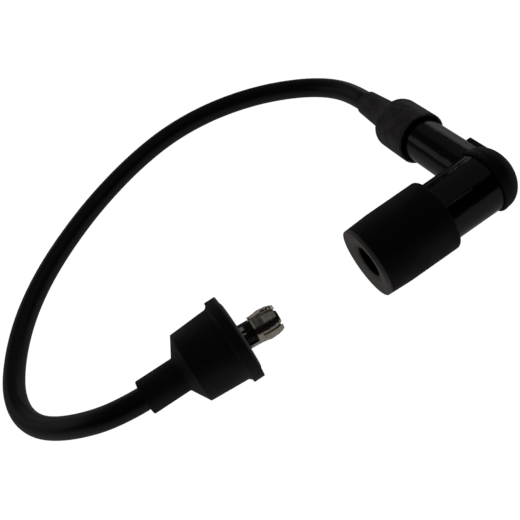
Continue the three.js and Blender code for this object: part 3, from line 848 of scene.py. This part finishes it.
# %% Coil boot
def make_coil_boot():
    flange, flange_back, chamfer, lip = 13.0, -3.4, 0.8, 0.5
    shoulder, sleeve_start, sleeve = -16.0, -19.2, 5.2
    end = COIL_SLEEVE_END - SLEEVE_LAP
    outline = eased([
        (0, flange, 0.15),
        (0, 11.3, 0.3),
        (lip, 10.3, 0.4),
        (lip, 9.3, 0.3),
        (-13.4, 9.0, 0.8),
        (-15.4, LEAD_HOLE, 0),
        (end, LEAD_HOLE, 0),
        (end, sleeve, 0.35),
        (sleeve_start, sleeve, 0.5),
        (shoulder, 10.7, 0.35),
        (flange_back - chamfer, 11.45, 0.3),
        (flange_back, 12.2, 0.2),
        (flange_back, flange, 0.3),
    ])
    boot = turned("coil_boot_rubber", outline, COIL, sides=192)
    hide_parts("coil_boot")
    return wear(boot, COIL_RUBBER)


coil_boot = make_coil_boot()
print("coil boot faces:", len(coil_boot.data.polygons))

# %% [markdown]
# ## The lead
#
# One tube is swept along the calmed route. At each step the ring is turned by the smallest rotation from
# the one before, so that it never twists, and the UV map is laid in millimetres as it goes.

# %% Swept tubes
def swept(name, line, radius, sides):
    """A closed tube along a line, with a UV map in millimetres."""
    ways = [(b - a).normalized() for a, b in zip(line, line[1:])]
    ways = [ways[0], *[(a + b).normalized() for a, b in zip(ways, ways[1:])], ways[-1]]
    side = ways[0].orthogonal().normalized()
    work = bmesh.new()
    uv = work.loops.layers.uv.new("along")
    rings, runs, run = [], [], 0.0
    for i, (centre, way) in enumerate(zip(line, ways)):
        if i:
            side = ways[i - 1].rotation_difference(way) @ side
            run += (centre - line[i - 1]).length
        side = (side - way * side.dot(way)).normalized()
        other = way.cross(side)
        ring = []
        for k in range(sides):
            a = 2 * math.pi * k / sides
            ring.append(work.verts.new(centre + radius * (side * math.cos(a) + other * math.sin(a))))
        rings.append(ring)
        runs.append(run)
    around = 2 * math.pi * radius / MM
    for i in range(len(rings) - 1):
        for k in range(sides):
            n = (k + 1) % sides
            face = work.faces.new([rings[i][k], rings[i][n], rings[i + 1][n], rings[i + 1][k]])
            for loop, (u, v) in zip(face.loops, ((k, i), (k + 1, i), (k + 1, i + 1), (k, i + 1))):
                loop[uv].uv = (around * u / sides, runs[v] / MM)
    work.faces.new(list(reversed(rings[0])))
    work.faces.new(rings[-1])
    mesh = bpy.data.meshes.new(name)
    work.to_mesh(mesh)
    work.free()
    return shaded(linked(name, mesh), 60)


# %% Free lead
lead = swept("ignition_lead", lead_line, LEAD_RADIUS * MM, 48)
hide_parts("ht_lead")
wear(lead, JACKET)
print("lead faces:", len(lead.data.polygons))

# %% [markdown]
# ## The lead's end in the coil boot
#
# Inside the boot the lead sags a little towards the table, so the crown stands low in the wide bore. Its
# bared core has seven strands. Six lie round the seventh, so one is swept as a shallow helix and the tree
# winds it into six.

# %% Lead end and strands
SAG = Vector((0, -0.76, -0.65)) * 0.9
STRAND_RADIUS = 0.35
STRAND_RING = 0.72
STRAND_STEP = 0.26
STRAND_TWIST = 0.09


def coil_point(x, share):
    """A point on the lead inside the boot. share is how much of the sag it has."""
    return COIL @ point(x, SAG.y * share, SAG.z * share)


end_line = through([
    coil_point(COIL_SLEEVE_END + LEAD_GAP, 0), coil_point(-24.6, 0), coil_point(-17, 0),
    coil_point(-8, 0.2), coil_point(-2, 0.62), coil_point(3.9, 1),
], 10)
lead_end = swept("lead_end", end_line, LEAD_RADIUS * MM, 48)
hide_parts("lead_coil_end")
wear(lead_end, JACKET)


def strand_line(ring):
    """A strand's middle line, at this distance from the axis."""
    line = []
    for k in range(11):
        a = STRAND_TWIST * k
        line.append(point(-0.2 + STRAND_STEP * k, ring * math.cos(a), ring * math.sin(a)))
    return line


def make_strands():
    """One strand beside the axis, wound into six by the tree, and one along the axis."""
    strands = swept("core_strands", strand_line(STRAND_RING), STRAND_RADIUS * MM, 12)
    run_tree(strands, COPIES, {"Copies": 6, "First angle": 0.0, "Material": COPPER})
    middle = swept("core_middle", strand_line(0), STRAND_RADIUS * MM, 12)
    joined_with(strands, middle, "UNION")
    strands.data.transform(TERMINAL)
    shaded(strands, 50)
    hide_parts("lead_core")
    return wear(strands, COPPER)


strands = make_strands()
print("lead end faces:", len(lead_end.data.polygons), "core faces:", len(strands.data.polygons))

# %% [markdown]
# ## Coil terminal
#
# The terminal is pressed and rolled from one strip of tinned sheet: a collar, a crown of five sprung prongs
# that swell and then turn in at their tips, a base strip along the lead, and two claws crimped round the
# jacket, each with a finger at its front. Each part of it is a patch of sheet on a turned surface, so one
# helper makes a patch with its thickness, and the tree winds the one prong into the crown.

# %% Patches of rolled sheet
SHEET = 0.4


def sheet_patch(name, stations, half_angles, middle, thickness=SHEET, across=16):
    """Sheet on a turned surface. stations are (x, inner radius), and half_angles in degrees at each."""
    work = bmesh.new()
    layers = []
    for lift in (0, thickness):
        rows = []
        for (x, radius), half in zip(stations, half_angles):
            row = []
            for k in range(across + 1):
                a = math.radians(middle - half + 2 * half * k / across)
                r = (radius + lift) * MM
                row.append(work.verts.new((x * MM, r * math.cos(a), r * math.sin(a))))
            rows.append(row)
        layers.append(rows)
    inner, outer = layers
    last = len(stations) - 1
    for i in range(last):
        for k in range(across):
            work.faces.new([inner[i][k], inner[i][k + 1], inner[i + 1][k + 1], inner[i + 1][k]])
            work.faces.new([outer[i][k], outer[i + 1][k], outer[i + 1][k + 1], outer[i][k + 1]])
        work.faces.new([inner[i][0], inner[i + 1][0], outer[i + 1][0], outer[i][0]])
        work.faces.new([inner[i][across], outer[i][across], outer[i + 1][across], inner[i + 1][across]])
    for k in range(across):
        work.faces.new([inner[0][k], outer[0][k], outer[0][k + 1], inner[0][k + 1]])
        work.faces.new([inner[last][k], inner[last][k + 1], outer[last][k + 1], outer[last][k]])
    bmesh.ops.recalc_face_normals(work, faces=work.faces[:])
    mesh = bpy.data.meshes.new(name)
    work.to_mesh(mesh)
    work.free()
    return linked(name, mesh)


# %% Crown and collar
PRONGS = 5
FIRST_PRONG = math.radians(70)
PRONG_START = 1.55
COLLAR_END = 1.62
CROWN_END = 7.8
SLOT_HALF_WIDTH = 0.35
TIP_ROUND = 0.9
TIP_NARROWING = 5.5


def crown_radius(x):
    """Inner radius of the crown's skin at a station: flared rim, swelling middle, tips turned in."""
    skin = [(0, 3.82), (0.5, 3.72), (1.6, 3.85), (3.4, 4.15), (5.6, 4.0), (6.9, 3.7), (CROWN_END, 3.3)]
    for (x0, r0), (x1, r1) in zip(skin, skin[1:]):
        if x <= x1:
            t = (x - x0) / (x1 - x0)
            # Past the rim the radius eases in and out, so that the prong has no kink
            t = t * t * (3 - 2 * t) if x0 > 0.4 else t
            return r0 + (r1 - r0) * t
    return skin[-1][1]


def make_crown():
    """One prong, as wide as the slots leave it and rounded at its tip, wound into the crown by the tree."""
    middle = 180 / PRONGS
    stations = [PRONG_START + (CROWN_END - PRONG_START) * i / 26 for i in range(27)]
    halves = []
    for x in stations:
        half = middle - math.degrees(math.asin(SLOT_HALF_WIDTH / crown_radius(x)))
        corner = max(0.0, 1 - (CROWN_END - x) / TIP_ROUND)
        halves.append(half - TIP_NARROWING * (1 - math.sqrt(max(0, 1 - corner * corner))))
    prong = sheet_patch("terminal_prongs", [(x, crown_radius(x)) for x in stations], halves, middle)
    return run_tree(prong, COPIES, {"Copies": PRONGS, "First angle": FIRST_PRONG, "Material": TINNED})


def make_collar():
    stations = [COLLAR_END * i / 10 for i in range(11)]
    outline = [(x, crown_radius(x) + SHEET) for x in stations]
    outline += [(x, crown_radius(x)) for x in reversed(stations)]
    return turned("terminal_collar", [Vector(p) for p in outline], Matrix.Identity(4), 120)


# %% Coil terminal
CLAW_RADIUS = LEAD_RADIUS + 0.2
CLAW_HALF = 163
# The strip and the claws are centred on the side that faces the table
STRIP_SIDE = -90


def make_terminal():
    terminal = make_crown()
    collar = make_collar()
    strip = sheet_patch("terminal_strip", [(-5.6, CLAW_RADIUS), (0.8, 3.72)], [35, 35], STRIP_SIDE, across=24)
    claws = sheet_patch("terminal_claws", [(-8.3, CLAW_RADIUS), (-4.9, CLAW_RADIUS)],
                        [CLAW_HALF, CLAW_HALF], STRIP_SIDE, across=120)
    finger = [(-5.4, CLAW_RADIUS), (-3.8, 3.75), (-2.4, 3.9)]
    fingers = [sheet_patch("claw_finger", finger, [11, 11, 7], side, 0.6, 8) for side in (153, 180)]
    for part in (collar, strip, claws, *fingers):
        joined_with(terminal, part, "UNION")
    # Pressed edges are never sharp: each is rounded by 0.06 mm
    round_off = terminal.modifiers.new("edges", "BEVEL")
    round_off.width = 0.06 * MM
    round_off.segments = 2
    round_off.limit_method = "ANGLE"
    round_off.angle_limit = math.radians(50)
    settled(terminal)
    terminal.name = "crown_terminal"
    terminal.data.transform(TERMINAL)
    shaded(terminal, 40)
    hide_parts("coil_terminal")
    return wear(terminal, TINNED)


terminal = make_terminal()
print("terminal faces:", len(terminal.data.polygons))

# %% [markdown]
# ## The lead and its ends
#
# The coil boot, the terminal and the end of the lead lie where the cord lays them. Like every piece, they
# go on the one body, root.

# %% [markdown]
# ## Pieces inside the cap
#
# The socket and its spring clip show through the mouth of the boot, and the rest is closed in. They keep
# the solids of the part and get the finish of the real ones.

# %% Finishes of the inner pieces
INNER = {
    "plug_socket": BRASS,
    "socket_clip": STEEL,
    "resistor": CERAMIC,
    "resistor_cap_front": TINNED,
    "resistor_cap_rear": TINNED,
    "contact_spring": STEEL,
    "contact_plate": BRASS,
    "wire_screw": STEEL,
    "chamber_seal": RUBBER,
    "lead_cap_end": JACKET,
}
for name, material in INNER.items():
    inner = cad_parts[name]
    inner.data.materials.clear()
    inner.data.materials.append(material)

# %% [markdown]
# ## Table and light
#
# Black parts are seen by what they mirror, so the light is planned as a ring of things to mirror. The table
# the camera sees is pure white. The one that the parts see is a dimmer card in the same place, because a
# fully white one would wash out every lower edge; each is hidden from the other's rays. Above hangs a
# broad, dim ceiling in two parts. The left part is dimmer, which puts the dark band along the middle of the
# wire leg, and both end before the camera, so the sides that face the camera go black. A brighter panel
# stands low behind on the right, for the upper streak of the wire leg and the seal. One behind lights the
# top of the coil end, and a dim one stands on the left.

# %% Table
TABLE_REACH = 60.0


def make_sheet(name, brightness):
    """A lit sheet under the part, as wide as any view can see. It is the floor."""
    corners = [(x * TABLE_REACH, y * TABLE_REACH, 0) for x, y in ((-1, -1), (1, -1), (1, 1), (-1, 1))]
    mesh = bpy.data.meshes.new(name)
    mesh.from_pydata(corners, [], [(0, 1, 2, 3)])
    sheet = linked(name, mesh)
    material, _, shader = finish_of(name, "#808080", 0.9)
    shader.inputs["Specular IOR Level"].default_value = 0
    shader.inputs["Emission Color"].default_value = (1, 1, 1, 1)
    shader.inputs["Emission Strength"].default_value = brightness
    sheet.data.materials.append(material)
    return sheet


def make_table():
    """Two sheets in one place: the camera sees the white one, and the parts mirror the dim one."""
    seen = make_sheet("white_table", 1.0)
    seen.visible_diffuse = False
    seen.visible_glossy = False
    mirrored = make_sheet("table_light", 0.18)
    mirrored.visible_camera = False


# %% Panels of soft light
def make_panel(name, place, aim, width, height, brightness):
    """A softbox in millimetres. brightness is what its face looks like, where the white table is 1."""
    data = bpy.data.lights.new(name, "AREA")
    data.shape = "RECTANGLE"
    data.size = width * MM
    data.size_y = height * MM
    data.energy = brightness * math.pi * data.size * data.size_y
    panel = bpy.data.objects.new(name, data)
    panel.location = point(*place)
    panel.rotation_euler = (point(*aim) - panel.location).to_track_quat("-Z", "Y").to_euler()
    bpy.context.scene.collection.objects.link(panel)


# The faint light of the room itself, from all round
ROOM = 0.004
make_table()
make_panel("ceiling", (500, 450, 900), (500, 449, 0), 1140, 2100, 0.085)
make_panel("ceiling_left", (-620, 450, 900), (-620, 449, 0), 1080, 2100, 0.03)
make_panel("panel_right_behind", (650, 620, 170), (0, 0, 10), 700, 380, 0.4)
make_panel("panel_behind_left", (-170, 1150, 240), (-75, 0, 10), 760, 460, 0.25)
make_panel("panel_left", (-700, 500, 320), (-40, 0, 10), 700, 300, 0.3)
world = bpy.data.worlds.new("room")
world.use_nodes = True
world.node_tree.nodes["Background"].inputs["Color"].default_value = (1, 1, 1, 1)
world.node_tree.nodes["Background"].inputs["Strength"].default_value = ROOM
bpy.context.scene.world = world
bpy.context.scene.view_settings.view_transform = "Standard"
